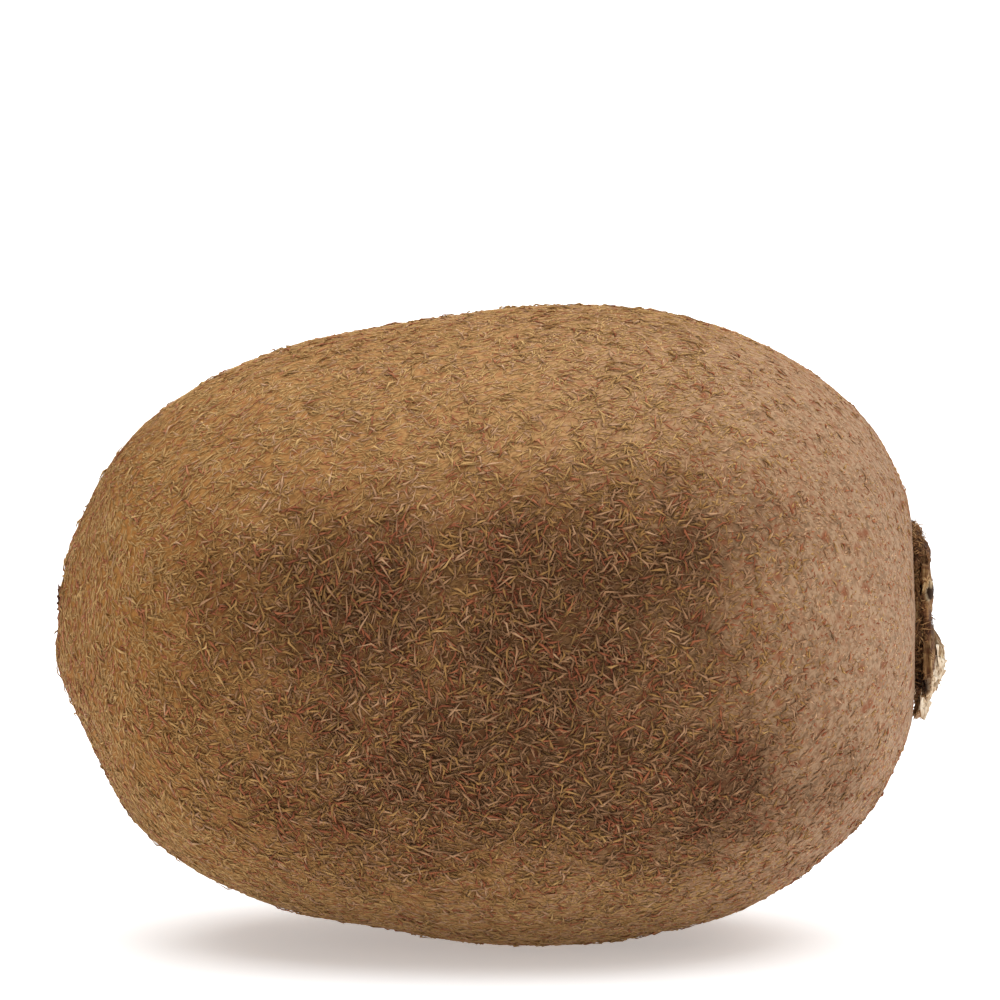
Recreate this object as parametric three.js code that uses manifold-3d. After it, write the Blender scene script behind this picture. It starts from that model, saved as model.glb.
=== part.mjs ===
// A whole kiwifruit, picked and lying on its side. Millimetres, +Z up, +X towards the stalk end.
// The fruit itself is one grown solid. Three dried remains of the plant sit on it: the calyx (five withered
// sepals round their receptacle) and the torn stub of the stalk at the +X end, and at the -X end the crown of
// withered styles that is left of the flower. The fruit rests at z = 0 on a small pressed flat.
import * as THREE from "three";
import { mergeVertices } from "three/addons/utils/BufferGeometryUtils.js";
import Module from "manifold-3d";

const wasm = await Module();
wasm.setup();

// ---- Driving dimensions -------------------------------------------------------------------------------

// Fruit: a superellipsoid, fuller than an ellipsoid, widest nearer its stalk end. The middle of the belly
// is at x = 0 on the fruit's own axis.
const fruitHeight = 50.9;
const fruitWidth = 52.6;
const widestToBlossomEnd = 40.1;
const widestToStalkSeat = 28.0; // the stalk end is cut short by the flat seat of the calyx
const widestToStalkPole = 29.2; // where the curve would have closed without the seat
const fullness = 2.21; // 2 is an ellipsoid, more is boxier
const restFlatDepth = 0.45; // how far the skin is pressed in where the fruit lies
const axisTilt = THREE.MathUtils.degToRad(1.0); // the stalk end lies a little higher

// Departures from that curve. Depths and swellings are shares of the fruit's radius.
const flatBack = { depth: 0.026, from: 12, reach: 9 }; // the upper side is straighter towards the blossom end
const sag = { depth: 0.017, middle: -3.0, from: 11, reach: 5.5 }; // the underside bellies out where it rests
const shoulder = { swell: 0.03, at: 25.3, reach: 2.2 }; // the stalk end is squarer than the curve
const nose = { depth: 0.36, reach: 3.8 }; // the blossom end draws in to a low blunt nose
const lift = { nose: 0.9, noseReach: 5.5, stalkEnd: 0.7 }; // both ends turn up a little
const blossomDimple = { depth: 1.9, radius: 2.7, height: 1.4 }; // its middle is this far above the axis
const seatDish = 0.5; // the calyx seat is this much lower in its middle
const lumps = [
  { size: 0.005, around: 2, along: 0.055, turn: 0.6, shift: 0.4 },
  { size: 0.004, around: 3, along: 0.09, turn: 2.1, shift: 1.3 },
  { size: 0.0025, around: 5, along: 0.16, turn: 4.0, shift: 2.2 },
];
const skinRoughness = 0.05;

// Calyx: measured from the seat plane, along the fruit's axis.
const pieceGap = 0.25; // air kept between neighbouring pieces
const receptacle = { radius: 5.6, rim: 0.25, crown: 1.0, overlap: 0.3 };
const sepal = { root: 1.9, thickness: 0.62, halfWidth: 3.7, stepsAlong: 13, stepsAcross: 8 };
const sepalOutline = { neck: 0.2, tip: 0.94, bluntness: 0.55 }; // shares of a half sine, and its power
const sepalEdge = { ragged: 0.17, notched: 0.09, split: 0.05, rounding: 0.1 };
const sepalTears = { along: [9, 17], across: [7, 13] }; // how fast they follow each other
const sepalWave = { height: 0.14, across: 2.6, along: 1.9 };
const sepals = [
  { at: 78, length: 7.3, arch: 0.6, curl: 0.0, width: 1.0 },
  { at: 152, length: 7.2, arch: 0.5, curl: 0.35, width: 1.05 },
  { at: 219, length: 8.2, arch: 0.75, curl: 0.5, width: 0.92 },
  { at: 291, length: 9.2, arch: 0.75, curl: 0.0, width: 1.08 },
  { at: 5, length: 7.4, arch: 0.55, curl: 0.45, width: 0.95 },
];

// Stalk stub, standing in a plain socket in the middle of the calyx.
const stub = { radius: 1.75, height: 2.0, tear: 0.55, sides: 16 };
const stubTop = { bark: 0.15, wood: 0.7, pith: 0.4, pithDepth: 0.75, pithMiddle: 0.9 };
const tornStrip = { at: 262, from: 0.4, length: 5.2, halfWidth: 1.25, thickness: 0.62, rise: 2.05 };
const stripEdge = { taper: 0.45, ragged: 0.25, notched: 0.12, ripple: 0.12, ripples: [11, 9, 8] };
const fibres = { count: 9, radius: 0.32, length: 2.0, sunk: 1.3, ring: 0.62, leanLeast: 0.1, leanMost: 0.55 };

// Crown of styles at the blossom end.
const styleHub = { radius: 1.1, height: 0.4 };
const styles = { count: 28, radius: 0.27, root: 0.5, length: 1.7, lowest: 13, highest: 27, raised: 0.1 };

const segmentsAround = 80;
const segmentsAlong = 44;

// ---- Helpers ------------------------------------------------------------------------------------------

// Repeatable random numbers from 0 to 1.
function seeded(seed) {
  let state = seed;
  return () => {
    state = (state + 0x6d2b79f5) | 0;
    let t = Math.imul(state ^ (state >>> 15), 1 | state);
    t = (t + Math.imul(t ^ (t >>> 7), 61 | t)) ^ t;
    return ((t ^ (t >>> 14)) >>> 0) / 4294967296;
  };
}

const between = (random, low, high) => low + (high - low) * random();

// A smooth bump: 1 at its middle, and next to nothing past twice its reach.
const bump = (distance, reach) => Math.exp(-((distance / reach) ** 2));

// A geometry that holds only merged positions, as the boolean library needs it.
function merged(geometry) {
  const bare = geometry.clone();
  bare.deleteAttribute("normal");
  bare.deleteAttribute("uv");
  return mergeVertices(bare, 1e-4);
}

function toSolid(geometry) {
  const g = merged(geometry);
  return new wasm.Manifold(
    new wasm.Mesh({
      numProp: 3,
      vertProperties: new Float32Array(g.attributes.position.array),
      triVerts: new Uint32Array(g.index.array),
    }),
  );
}

function toGeometry(solid) {
  const mesh = solid.getMesh();
  const geometry = new THREE.BufferGeometry();
  geometry.setAttribute("position", new THREE.BufferAttribute(mesh.vertProperties, 3));
  geometry.setIndex(new THREE.BufferAttribute(mesh.triVerts, 1));
  const faceted = geometry.toNonIndexed();
  faceted.computeVertexNormals();
  return faceted;
}

// Moves every vertex of a geometry with a function that changes the vector it is given.
function reshape(geometry, move) {
  const position = geometry.attributes.position;
  const v = new THREE.Vector3();
  for (let i = 0; i < position.count; i++) {
    v.fromBufferAttribute(position, i);
    move(v, i);
    position.setXYZ(i, v.x, v.y, v.z);
  }
  return geometry;
}

// Revolves a profile of (radius, x) points round the X axis.
function turned(profile, segments) {
  const points = profile.map(([r, x]) => new THREE.Vector2(r, x));
  return new THREE.LatheGeometry(points, segments).rotateZ(-Math.PI / 2);
}

// ---- Fruit --------------------------------------------------------------------------------------------

const belly = fruitHeight / 2;

// The calyx seat's radius is where the fruit's curve reaches the seat.
const seatShare = widestToStalkSeat / widestToStalkPole;
const seatRadius = belly * (1 - seatShare ** fullness) ** (1 / fullness);
const seatSurface = (r) => -seatDish * (1 - (r / seatRadius) ** 2);

function fruitProfile() {
  const points = [];
  const bend = 2 / fullness;
  const seatAngle = Math.PI - Math.acos(seatShare ** (1 / bend));
  for (let i = 0; i <= segmentsAlong; i++) {
    const angle = (seatAngle * i) / segmentsAlong;
    const c = Math.cos(angle);
    const reach = c > 0 ? -widestToBlossomEnd : widestToStalkPole;
    const x = reach * Math.abs(c) ** bend;
    const drawnIn = 1 - nose.depth * bump(x + widestToBlossomEnd, nose.reach);
    const r = i === 0 ? 0 : belly * drawnIn * Math.sin(angle) ** bend;
    points.push([r, x]);
  }
  for (const share of [0.75, 0.5, 0.25, 0]) {
    const r = seatRadius * share;
    points.push([r, widestToStalkSeat + seatSurface(r)]);
  }
  return points;
}

// How far the fruit's middle line has turned up from its axis.
function turnedUp(x) {
  if (x < 0) return lift.nose * bump(x + widestToBlossomEnd, lift.noseReach);
  return lift.stalkEnd * (x / widestToStalkSeat) ** 2;
}

// How much thicker or thinner the fruit is than its formula, at a place along it and round it.
function growth(x, angle) {
  const fade = Math.min(1, (widestToStalkSeat - x) / 4); // the seat itself stays true
  const upper = ((1 + Math.sin(angle)) / 2) ** 2;
  const lower = ((1 - Math.sin(angle)) / 2) ** 2;
  const flattening = flatBack.depth * upper * bump(x + flatBack.from, flatBack.reach);
  const hollowing = sag.depth * lower * bump(Math.abs(x - sag.middle) - sag.from, sag.reach);
  const squaring = shoulder.swell * bump(x - shoulder.at, shoulder.reach);
  const swelling = lumps.reduce(
    (sum, l) => sum + l.size * Math.cos(l.around * angle + l.turn) * Math.cos(l.along * x + l.shift),
    0,
  );
  return 1 - flattening - hollowing + squaring + fade * swelling;
}

function fruitGeometry() {
  const random = seeded(7);
  const skin = merged(turned(fruitProfile(), segmentsAround));
  reshape(skin, (v) => {
    const thick = growth(v.x, Math.atan2(v.z, v.y));
    const onSeat = v.x > widestToStalkSeat - 0.01 - seatDish && Math.hypot(v.y, v.z) < seatRadius + 0.01;
    const rough = onSeat ? 0 : (skinRoughness * between(random, -1, 1)) / belly;
    v.y *= (thick + rough) * (onSeat ? 1 : fruitWidth / fruitHeight);
    v.z *= thick + rough;
    const fromDimple = Math.hypot(v.y, v.z - blossomDimple.height);
    v.z += turnedUp(v.x);
    if (v.x < 0) v.x += blossomDimple.depth * bump(fromDimple, blossomDimple.radius);
  });
  return skin;
}

// The flat that the fruit's own weight presses is cut level, after the fruit has been tilted and set down.
function restingFruit() {
  const ground = new THREE.BoxGeometry(120, 120, 20).translate(0, 0, -10);
  const lying = fruitGeometry().applyMatrix4(lie.matrixWorld);
  return toGeometry(toSolid(lying).subtract(toSolid(ground)));
}

// ---- Calyx --------------------------------------------------------------------------------------------

// Height of the receptacle's back over the seat, on which the sepals lie.
const calyxBack = (r) => {
  const share = Math.min(1, r / receptacle.radius);
  return receptacle.rim + (receptacle.crown - receptacle.rim) * (1 - share ** 2);
};

function receptacleGeometry() {
  const profile = [];
  for (const share of [0, 0.35, 0.7, 1]) {
    const r = receptacle.radius * share;
    profile.push([r, seatSurface(r) + pieceGap]);
  }
  for (const share of [1, 0.75, 0.5, 0.25, 0]) {
    const r = receptacle.radius * share;
    profile.push([r, calyxBack(r) + receptacle.overlap]);
  }
  return turned(profile, 30);
}

// A thin closed plate, split into triangles alike on its back and its face, and warped point by point. It
// runs along +X from 0 to 1, across Y from -1 to 1, and up +Z from 0, its back, to 1, its face.
function blade(stepsAlong, stepsAcross, warp) {
  const face = new THREE.PlaneGeometry(1, 2, stepsAlong, stepsAcross).translate(0.5, 0, 1);
  const back = face.clone().translate(0, 0, -1);
  const corners = Array.from(face.index.array);
  const under = face.attributes.position.count;
  const edges = new Set();
  const triangles = [];
  for (let i = 0; i < corners.length; i += 3) {
    const [a, b, c] = corners.slice(i, i + 3);
    triangles.push(a, b, c, c + under, b + under, a + under);
    edges.add(`${a},${b}`).add(`${b},${c}`).add(`${c},${a}`);
  }
  for (const edge of edges) {
    const [a, b] = edge.split(",").map(Number);
    if (!edges.has(`${b},${a}`)) triangles.push(b, a, a + under, b, a + under, b + under);
  }
  const plate = new THREE.BufferGeometry();
  const points = [...face.attributes.position.array, ...back.attributes.position.array];
  plate.setAttribute("position", new THREE.Float32BufferAttribute(points, 3));
  plate.setIndex(triangles);
  return reshape(plate, (v) => v.copy(warp(v.x, v.y, v.z)));
}

// Stands a blade's height along the fruit's axis and points it outwards: 0 is +Y, 90 is up.
const spoked = (flat, at) => flat.rotateY(Math.PI / 2).rotateX(THREE.MathUtils.degToRad(at + 90));

// One withered sepal: ovate, ragged at its edge, waved, arched over the receptacle and curling at its tip.
function sepalGeometry(s, random) {
  const phase = Array.from({ length: 5 }, () => between(random, 0, 2 * Math.PI));
  const flat = blade(sepal.stepsAlong, sepal.stepsAcross, (along, across, k) => {
    const sweep = sepalOutline.neck + (sepalOutline.tip - sepalOutline.neck) * along;
    const outline = Math.sin(Math.PI * sweep) ** sepalOutline.bluntness;
    const [slow, quick] = sepalTears.along;
    const tear = Math.sin(slow * along + phase[0] + across) * Math.sin(quick * along + phase[1]);
    const edge = 1 + sepalEdge.ragged * tear * across ** 2;
    const y = across * sepal.halfWidth * s.width * outline * edge;
    const notch = sepalEdge.notched * Math.sin(sepalTears.across[0] * across + phase[2]);
    const split = sepalEdge.split * Math.sin(sepalTears.across[1] * across + phase[3]);
    const rounded = sepalEdge.rounding * across ** 2;
    const x = sepal.root + (s.length - sepal.root) * along * (1 - along * (notch + split + rounded));
    const wave = Math.sin(sepalWave.across * y + phase[4]) * Math.sin(sepalWave.along * x + phase[2]);
    const arched = s.arch * Math.sin(Math.PI * along) * (1 - across ** 2 / 2);
    const back = calyxBack(Math.hypot(x, y)) + arched + s.curl * along ** 4 + sepalWave.height * along * wave;
    return new THREE.Vector3(x, y, Math.max(back, pieceGap) + k * sepal.thickness);
  });
  return spoked(flat, s.at);
}

function calyxGeometry() {
  const random = seeded(21);
  const leaves = sepals.map((s) => toSolid(sepalGeometry(s, random)));
  const whole = leaves.reduce((sum, leaf) => sum.add(leaf), toSolid(receptacleGeometry()));
  const socket = new THREE.CylinderGeometry(stub.radius + pieceGap, stub.radius + pieceGap, 12, stub.sides);
  return toGeometry(whole.subtract(toSolid(socket.rotateZ(-Math.PI / 2))));
}

// ---- Stalk stub ---------------------------------------------------------------------------------------

// The snapped end of the stalk: its top is torn, highest at the rim, and hollow at the pith.
function stubGeometry(random) {
  const profile = [
    [0, seatSurface(0) + pieceGap],
    [stub.radius, seatSurface(stub.radius) + pieceGap],
    [stub.radius, stub.height - stubTop.bark],
    [stub.radius * stubTop.wood, stub.height],
    [stub.radius * stubTop.pith, stub.height - stubTop.pithDepth],
    [0, stub.height - stubTop.pithMiddle],
  ];
  const torn = (stubTop.bark + stubTop.pithDepth) / 2; // only the rim above this is ragged
  return reshape(merged(turned(profile, stub.sides)), (v) => {
    if (v.x > stub.height - torn) v.x += between(random, -stub.tear, stub.tear);
  });
}

// A strip of bark that tore with the stalk and lies over the sepals.
function stripGeometry(random) {
  const phase = between(random, 0, 2 * Math.PI);
  const [edges, ends, folds] = stripEdge.ripples;
  const strip = blade(10, 4, (along, across, k) => {
    const ragged = 1 + stripEdge.ragged * Math.sin(edges * along + phase + across);
    const y = across * tornStrip.halfWidth * (1 - stripEdge.taper * along) * ragged;
    const notched = 1 - stripEdge.notched * along * Math.sin(ends * across);
    const x = tornStrip.from + tornStrip.length * along * notched;
    const fold = stripEdge.ripple * Math.sin(folds * along + 2 * across);
    return new THREE.Vector3(x, y, tornStrip.rise - fold + k * tornStrip.thickness);
  });
  return spoked(strip, tornStrip.at);
}

function stalkGeometry() {
  const random = seeded(5);
  let whole = toSolid(stubGeometry(random)).add(toSolid(stripGeometry(random)));
  for (let i = 0; i < fibres.count; i++) {
    const around = (2 * Math.PI * (i + between(random, -0.3, 0.3))) / fibres.count;
    const lean = between(random, fibres.leanLeast, fibres.leanMost);
    const fibre = new THREE.ConeGeometry(fibres.radius, fibres.length, 5)
      .translate(0, fibres.length / 2, 0)
      .rotateZ(-Math.PI / 2)
      .rotateY(lean)
      .translate(stub.height - fibres.sunk, 0, -stub.radius * fibres.ring)
      .rotateX(around);
    whole = whole.add(toSolid(fibre));
  }
  return toGeometry(whole);
}

// ---- Crown of styles ----------------------------------------------------------------------------------

// Withered styles spread like spokes from their hub, in a lower and an upper rank. Built facing +X.
function crownGeometry() {
  const random = seeded(11);
  const hub = new THREE.SphereGeometry(styleHub.radius, 16, 8).scale(styleHub.height / styleHub.radius, 1, 1);
  let whole = toSolid(hub);
  for (let i = 0; i < styles.count; i++) {
    const around = (2 * Math.PI * (i + between(random, -0.3, 0.3))) / styles.count;
    const raised = i % 2 === 0 ? 0 : 0.5;
    const angle = styles.lowest + (styles.highest - styles.lowest) * (raised + 0.5 * random());
    const length = styles.length * between(random, 0.75, 1.05) * (1 - 0.3 * raised);
    const style = new THREE.ConeGeometry(styles.radius, length, 5)
      .translate(0, styles.root + length / 2, 0)
      .rotateZ(-THREE.MathUtils.degToRad(angle))
      .translate(styles.raised, 0, 0)
      .rotateX(around);
    whole = whole.add(toSolid(style));
  }
  return toGeometry(whole);
}

// ---- Assembly -----------------------------------------------------------------------------------------

function dried(colour, roughness) {
  return new THREE.MeshStandardMaterial({ color: colour, roughness, metalness: 0 });
}

function named(name, geometry, material) {
  const mesh = new THREE.Mesh(geometry, material);
  mesh.name = name;
  return mesh;
}

// The fruit's own axis: tilted, and lifted so that the belly dips below z = 0 by the depth of the flat.
const lie = new THREE.Group();
lie.rotation.y = -axisTilt;
lie.position.z = belly - restFlatDepth;
lie.updateMatrixWorld(true);

const stalkEnd = new THREE.Group();
stalkEnd.position.x = widestToStalkSeat;
stalkEnd.position.z = turnedUp(widestToStalkSeat);
stalkEnd.add(named("calyx", calyxGeometry(), dried(0x4a3020, 0.9)));
stalkEnd.add(named("stalk_stub", stalkGeometry(), dried(0xb89a78, 0.85)));

const blossomEnd = new THREE.Group();
blossomEnd.position.x = -(widestToBlossomEnd - blossomDimple.depth + pieceGap + styleHub.height);
blossomEnd.position.z = blossomDimple.height + turnedUp(-widestToBlossomEnd);
blossomEnd.rotation.z = Math.PI;
blossomEnd.add(named("style_crown", crownGeometry(), dried(0x3a2416, 0.9)));

lie.add(stalkEnd, blossomEnd);

const kiwifruit = new THREE.Group();
kiwifruit.add(named("fruit", restingFruit(), dried(0x8a6642, 0.95)), lie);

// The origin is on the ground, under the middle of the whole object.
const extent = new THREE.Box3().setFromObject(kiwifruit);
const middle = extent.getCenter(new THREE.Vector3());
kiwifruit.position.set(-middle.x, -middle.y, 0);

export default kiwifruit;
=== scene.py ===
# A whole kiwifruit lying on its side, in metres, +Z up and +X towards the stalk end.
from math import cos, pi, radians, sin

import bmesh
import bpy
import numpy as np
from mathutils import Matrix, Vector, noise


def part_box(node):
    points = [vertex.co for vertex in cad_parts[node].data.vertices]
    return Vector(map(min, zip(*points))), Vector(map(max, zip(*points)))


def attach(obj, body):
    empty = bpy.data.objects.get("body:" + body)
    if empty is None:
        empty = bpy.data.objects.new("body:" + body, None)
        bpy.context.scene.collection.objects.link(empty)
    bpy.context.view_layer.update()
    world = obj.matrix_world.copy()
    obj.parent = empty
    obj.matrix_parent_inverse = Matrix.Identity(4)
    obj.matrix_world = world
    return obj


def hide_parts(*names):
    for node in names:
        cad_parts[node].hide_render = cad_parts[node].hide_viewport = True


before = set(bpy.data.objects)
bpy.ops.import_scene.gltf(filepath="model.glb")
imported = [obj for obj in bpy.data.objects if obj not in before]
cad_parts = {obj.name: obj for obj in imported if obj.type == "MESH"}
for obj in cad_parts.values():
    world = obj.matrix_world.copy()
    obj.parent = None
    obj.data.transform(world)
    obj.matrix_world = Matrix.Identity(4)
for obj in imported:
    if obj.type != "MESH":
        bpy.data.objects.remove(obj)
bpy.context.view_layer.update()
mm = 0.001

# ---- Skin ---------------------------------------------------------------------------------------------
# Thin, dry, leathery skin, grown in one with the flesh. It keeps the form of the solid, rounded between its
# facets, with low swellings and shallow pits of its own. Golden brown at the blossom end, dark olive brown
# in patches round the belly, and paler and pinkish at the stalk end. The belly's dark belt is partly painted
# shade: it keeps to the flanks, which face away from the overhead lamp. Red-brown dots are old hair roots.
fruit_low, fruit_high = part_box("fruit")
fruit_length = fruit_high.x - fruit_low.x
fruit_middle = (fruit_low + fruit_high) / 2
blossom_axis = (0.0, sum(corner.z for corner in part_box("style_crown")) / 2)  # across the fruit: y and z
stalk_axis = Vector((32.35, 0, 26.2)) * mm  # where the stalk's axis, which lies along X, meets the seat
skin_swellings = ((260.0, 0.10 * mm), (620.0, 0.05 * mm))  # noise scale per metre, and height
pressed_height = 1.5 * mm  # the swellings fade out below it, over the pressed flat
belt_begins, belt_ends = (0.01, 0.44), (0.68, 0.96)  # shares of the length over which the dark belt fades
belt_wander, belt_dip = 0.05, 0.06  # how far its stalk side wavers, and reaches further under the fruit
shaded_flank_lean, shaded_flank_edge = 0.12, (0.30, 0.80)  # the belt's painted shade keeps to the flanks, facing a little down, and fades over these slopes
patch_noises = ((75.0, 0.50), (190.0, 0.35), (480.0, 0.30))  # noise scale per metre, and share
dimple_edge = (1.2 * mm, 3.2 * mm)  # the dark dimple fades over these distances from its axis
collar_edge = (6 * mm, 11 * mm)  # and so does the dark collar round the calyx
felt_strokes = ((3300.0, 0, 6.0), (3100.0, 58, 5.0), (3500.0, -52, 5.0))  # noise scale, degrees and stretch
root_dots = 560.0  # old hair roots per metre


def shade(red, green, blue, alpha=1.0):
    """A colour given as it shows on a screen, from 0 to 255, in Blender's linear values."""
    linear = [((c / 255 + 0.055) / 1.055) ** 2.4 if c > 10 else c / 255 / 12.92 for c in (red, green, blue)]
    return (*linear, alpha)


def merged_solid(node):
    """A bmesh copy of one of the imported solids, with its loose triangles joined."""
    solid = bmesh.new()
    solid.from_mesh(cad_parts[node].data)
    bmesh.ops.remove_doubles(solid, verts=solid.verts, dist=0.001 * mm)
    return solid


def piece_from(name, solid, material):
    """A smooth-shaded object at the origin, made from a bmesh, with one material."""
    shape = bpy.data.meshes.new(name)
    solid.to_mesh(shape)
    solid.free()
    shape.shade_smooth()
    shape.materials.append(material)
    piece = bpy.data.objects.new(name, shape)
    bpy.context.scene.collection.objects.link(piece)
    return piece


def round_facets(piece, levels):
    """Rounds a piece between its facets, and keeps the result as its own mesh."""
    rounding = piece.modifiers.new("rounding", "SUBSURF")
    rounding.levels = rounding.render_levels = levels
    shape = bpy.data.meshes.new_from_object(piece.evaluated_get(bpy.context.evaluated_depsgraph_get()))
    piece.modifiers.clear()
    piece.data = shape


def corners_of(shape):
    """A mesh's corners, and the directions in which it faces there."""
    corners = np.array([corner.co for corner in shape.vertices])
    return corners, np.array([corner.normal for corner in shape.vertices])


def move_corners(piece, corners):
    piece.data.vertices.foreach_set("co", corners.ravel())
    piece.data.update()


class Surface:
    """A procedural material under construction: its node tree, and short ways to add and join nodes."""

    def __init__(self, name, **sockets):
        self.material = bpy.data.materials.new(name)
        self.material.use_nodes = True
        self.tree = self.material.node_tree
        self.shader = self.tree.nodes["Principled BSDF"]
        for socket, value in sockets.items():
            self.shader.inputs[socket.replace("_", " ")].default_value = value

    def add(self, kind, **inputs):
        node = self.tree.nodes.new("ShaderNode" + kind)
        for socket, value in inputs.items():
            self.feed(value, node.inputs[socket.replace("_", " ")])
        return node

    def feed(self, value, socket):
        if isinstance(value, bpy.types.NodeSocket):
            self.tree.links.new(value, socket)
        else:
            socket.default_value = value

    def place(self):
        return self.add("TexCoord").outputs["Object"]

    def coordinate(self, axis):
        return self.add("SeparateXYZ", Vector=self.place()).outputs[axis]

    def offset(self, centre, scales):
        """The way from a centre to each point, with its X, Y and Z scaled."""
        return self.vector("MULTIPLY", self.vector("SUBTRACT", self.place(), tuple(centre)), scales)

    def distance(self, centre, scales):
        return self.vector("LENGTH", self.offset(centre, scales))

    def cloud(self, where, scale, detail, roughness):
        node = self.add("TexNoise", Vector=where, Scale=scale, Detail=detail, Roughness=roughness)
        return node.outputs["Fac"]

    def grain(self, scale, detail=2.0, roughness=0.5, stretch=(1, 1, 1)):
        """A noise of so many grains to the metre. A stretch below 1 draws them out along that axis."""
        drawn = self.add("Mapping", Vector=self.place(), Scale=stretch)
        return self.cloud(drawn.outputs[0], scale, detail, roughness)

    def strokes(self, scale, degrees, stretch):
        """A noise drawn out into short strokes that lie at an angle, in the plane of the fruit's side."""
        turned = (0, radians(degrees), 0)
        drawn = self.add("Mapping", Vector=self.place(), Rotation=turned, Scale=(stretch, 1, 1))
        drawn.vector_type = "TEXTURE"
        return self.cloud(drawn.outputs[0], scale, detail=1.0, roughness=0.5)

    def ramp(self, value, stops):
        """A run of colours: each stop is a place from 0 to 1, and a colour as shade takes it."""
        node = self.add("ValToRGB", Fac=value)
        elements = node.color_ramp.elements
        while len(elements) < len(stops):
            elements.new(1.0)
        for element, (position, colour) in zip(elements, stops):
            element.position = position
            element.color = shade(*colour)
        return node.outputs["Color"]

    def span(self, value, low, high, to_low=0.0, to_high=1.0):
        node = self.add("MapRange", Value=value, From_Min=low, From_Max=high, To_Min=to_low, To_Max=to_high)
        return node.outputs["Result"]

    def math(self, operation, a, b=0.0):
        node = self.tree.nodes.new("ShaderNodeMath")
        node.operation = operation
        self.feed(a, node.inputs[0])
        self.feed(b, node.inputs[1])
        return node.outputs[0]

    def vector(self, operation, a, b=(0.0, 0.0, 0.0)):
        node = self.tree.nodes.new("ShaderNodeVectorMath")
        node.operation = operation
        self.feed(a, node.inputs[0])
        self.feed(b, node.inputs[1])
        return node.outputs["Value" if operation in ("LENGTH", "DOT_PRODUCT") else "Vector"]

    def blend(self, kind, amount, a, b):
        node = self.tree.nodes.new("ShaderNodeMix")
        node.data_type = "RGBA"
        node.blend_type = kind
        self.feed(amount, node.inputs[0])
        self.feed(a, node.inputs[6])
        self.feed(b, node.inputs[7])
        return node.outputs[2]

    def relief(self, height, strength, distance):
        bump = self.add("Bump", Height=height, Strength=strength, Distance=distance)
        self.tree.links.new(bump.outputs["Normal"], self.shader.inputs["Normal"])

    def colour(self, value):
        self.feed(value, self.shader.inputs["Base Color"])


def smooth_step(value, low, high):
    t = np.clip((value - low) / (high - low), 0, 1)
    return t * t * (3 - 2 * t)


def share_along(points):
    """How far along the fruit points are, from 0 at the blossom end to 1 at the calyx seat."""
    return (points[:, 0] - fruit_low.x) / fruit_length


def off_axis(points, across):
    """Distance of points from a line along the fruit, given by its y and z."""
    return np.linalg.norm(points[:, 1:] - np.array(across), axis=1)


def swirl(points, scale):
    """A smooth random number for each point, about -1 to 1."""
    return np.array([noise.noise(Vector(point) * scale) for point in points]) * 1.8


def darkness(points, normals):
    """How dark the coat is at each point, from 0 on the shoulders to 1 in the patches on the flanks.
    On the flanks, which face away from the overhead lamp, it is painted shade.
    """
    along = share_along(points)
    underneath = smooth_step(-normals[:, 2], 0.05, 0.60)
    end = along + belt_wander * swirl(points, 120.0) - belt_dip * underneath
    belt = smooth_step(along, *belt_begins) * (1 - smooth_step(end, *belt_ends))
    shaded_flank = 1 - smooth_step(np.abs(normals[:, 2] + shaded_flank_lean), *shaded_flank_edge)
    patches = sum(share * swirl(points, scale) for scale, share in patch_noises)
    coat = np.clip(belt * (0.05 + 0.95 * shaded_flank) * (1 + 0.60 * patches), 0, 1)
    dimple = (1 - smooth_step(off_axis(points, blossom_axis), *dimple_edge)) * (along < 0.2)
    collar = (1 - smooth_step(off_axis(points, stalk_axis[1:]), *collar_edge)) * (along > 0.8)
    return np.maximum(coat, np.maximum(0.9 * dimple, 0.55 * collar))


def skin_surface():
    """Light and dark ground that changes along the fruit, a felt of fine strokes on it, and root dots."""
    look = Surface("kiwi_skin", Roughness=0.85, Specular_IOR_Level=0.12)
    drift = look.span(look.grain(70.0, detail=3.0), 0.0, 1.0, -6 * mm, 6 * mm)
    along = look.span(look.math("ADD", look.coordinate("X"), drift), fruit_low.x, fruit_high.x)
    light_coat = look.ramp(
        along,
        [
            (0.00, (150, 102, 48)),
            (0.12, (158, 113, 60)),
            (0.55, (174, 134, 89)),
            (0.78, (164, 133, 103)),
            (1.00, (162, 134, 110)),
        ],
    )
    dark_coat = look.ramp(along, [(0.0, (104, 68, 36)), (0.5, (94, 66, 40)), (1.0, (102, 73, 52))])
    dark = look.add("Attribute")
    dark.attribute_name = "darkness"
    # the dark coat follows the darkness: dark patches, and painted shade on the flanks
    ground = look.blend("MIX", dark.outputs["Fac"], light_coat, dark_coat)
    felt = 0.0
    for scale, degrees, stretch in felt_strokes:
        felt = look.math("MAXIMUM", felt, look.strokes(scale, degrees, stretch))
    gaps = [(0.30, (132, 120, 92)), (0.50, (190, 168, 146)), (0.68, (214, 164, 136))]
    between = look.ramp(look.grain(1500.0), gaps)
    matted = look.ramp(felt, [(0.50, (0, 0, 0)), (0.68, (255, 255, 255))])
    # the felt's gaps deepen with the darkness, painted shade on the flanks included
    depth = look.span(dark.outputs["Fac"], 0.0, 1.0, 0.62, 0.9)
    ground = look.blend("MULTIPLY", depth, ground, look.blend("MIX", matted, between, shade(255, 252, 246)))
    root = look.add("TexVoronoi", Vector=look.place(), Scale=root_dots)
    near = look.span(root.outputs["Distance"], 0.12, 0.32, 1.0, 0.0)
    chosen = look.span(look.add("SeparateColor", Color=root.outputs["Color"]).outputs[0], 0.20, 0.60)
    towards_stalk = look.span(along, 0.3, 0.8, 0.3, 1.0)
    dots = look.math("MULTIPLY", look.math("MULTIPLY", near, chosen), towards_stalk)
    look.colour(look.blend("MIX", look.math("MULTIPLY", dots, 0.8), ground, shade(122, 68, 42)))
    look.relief(look.math("SUBTRACT", felt, look.math("MULTIPLY", dots, 0.6)), 0.5, 0.25 * mm)
    return look.material


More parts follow.
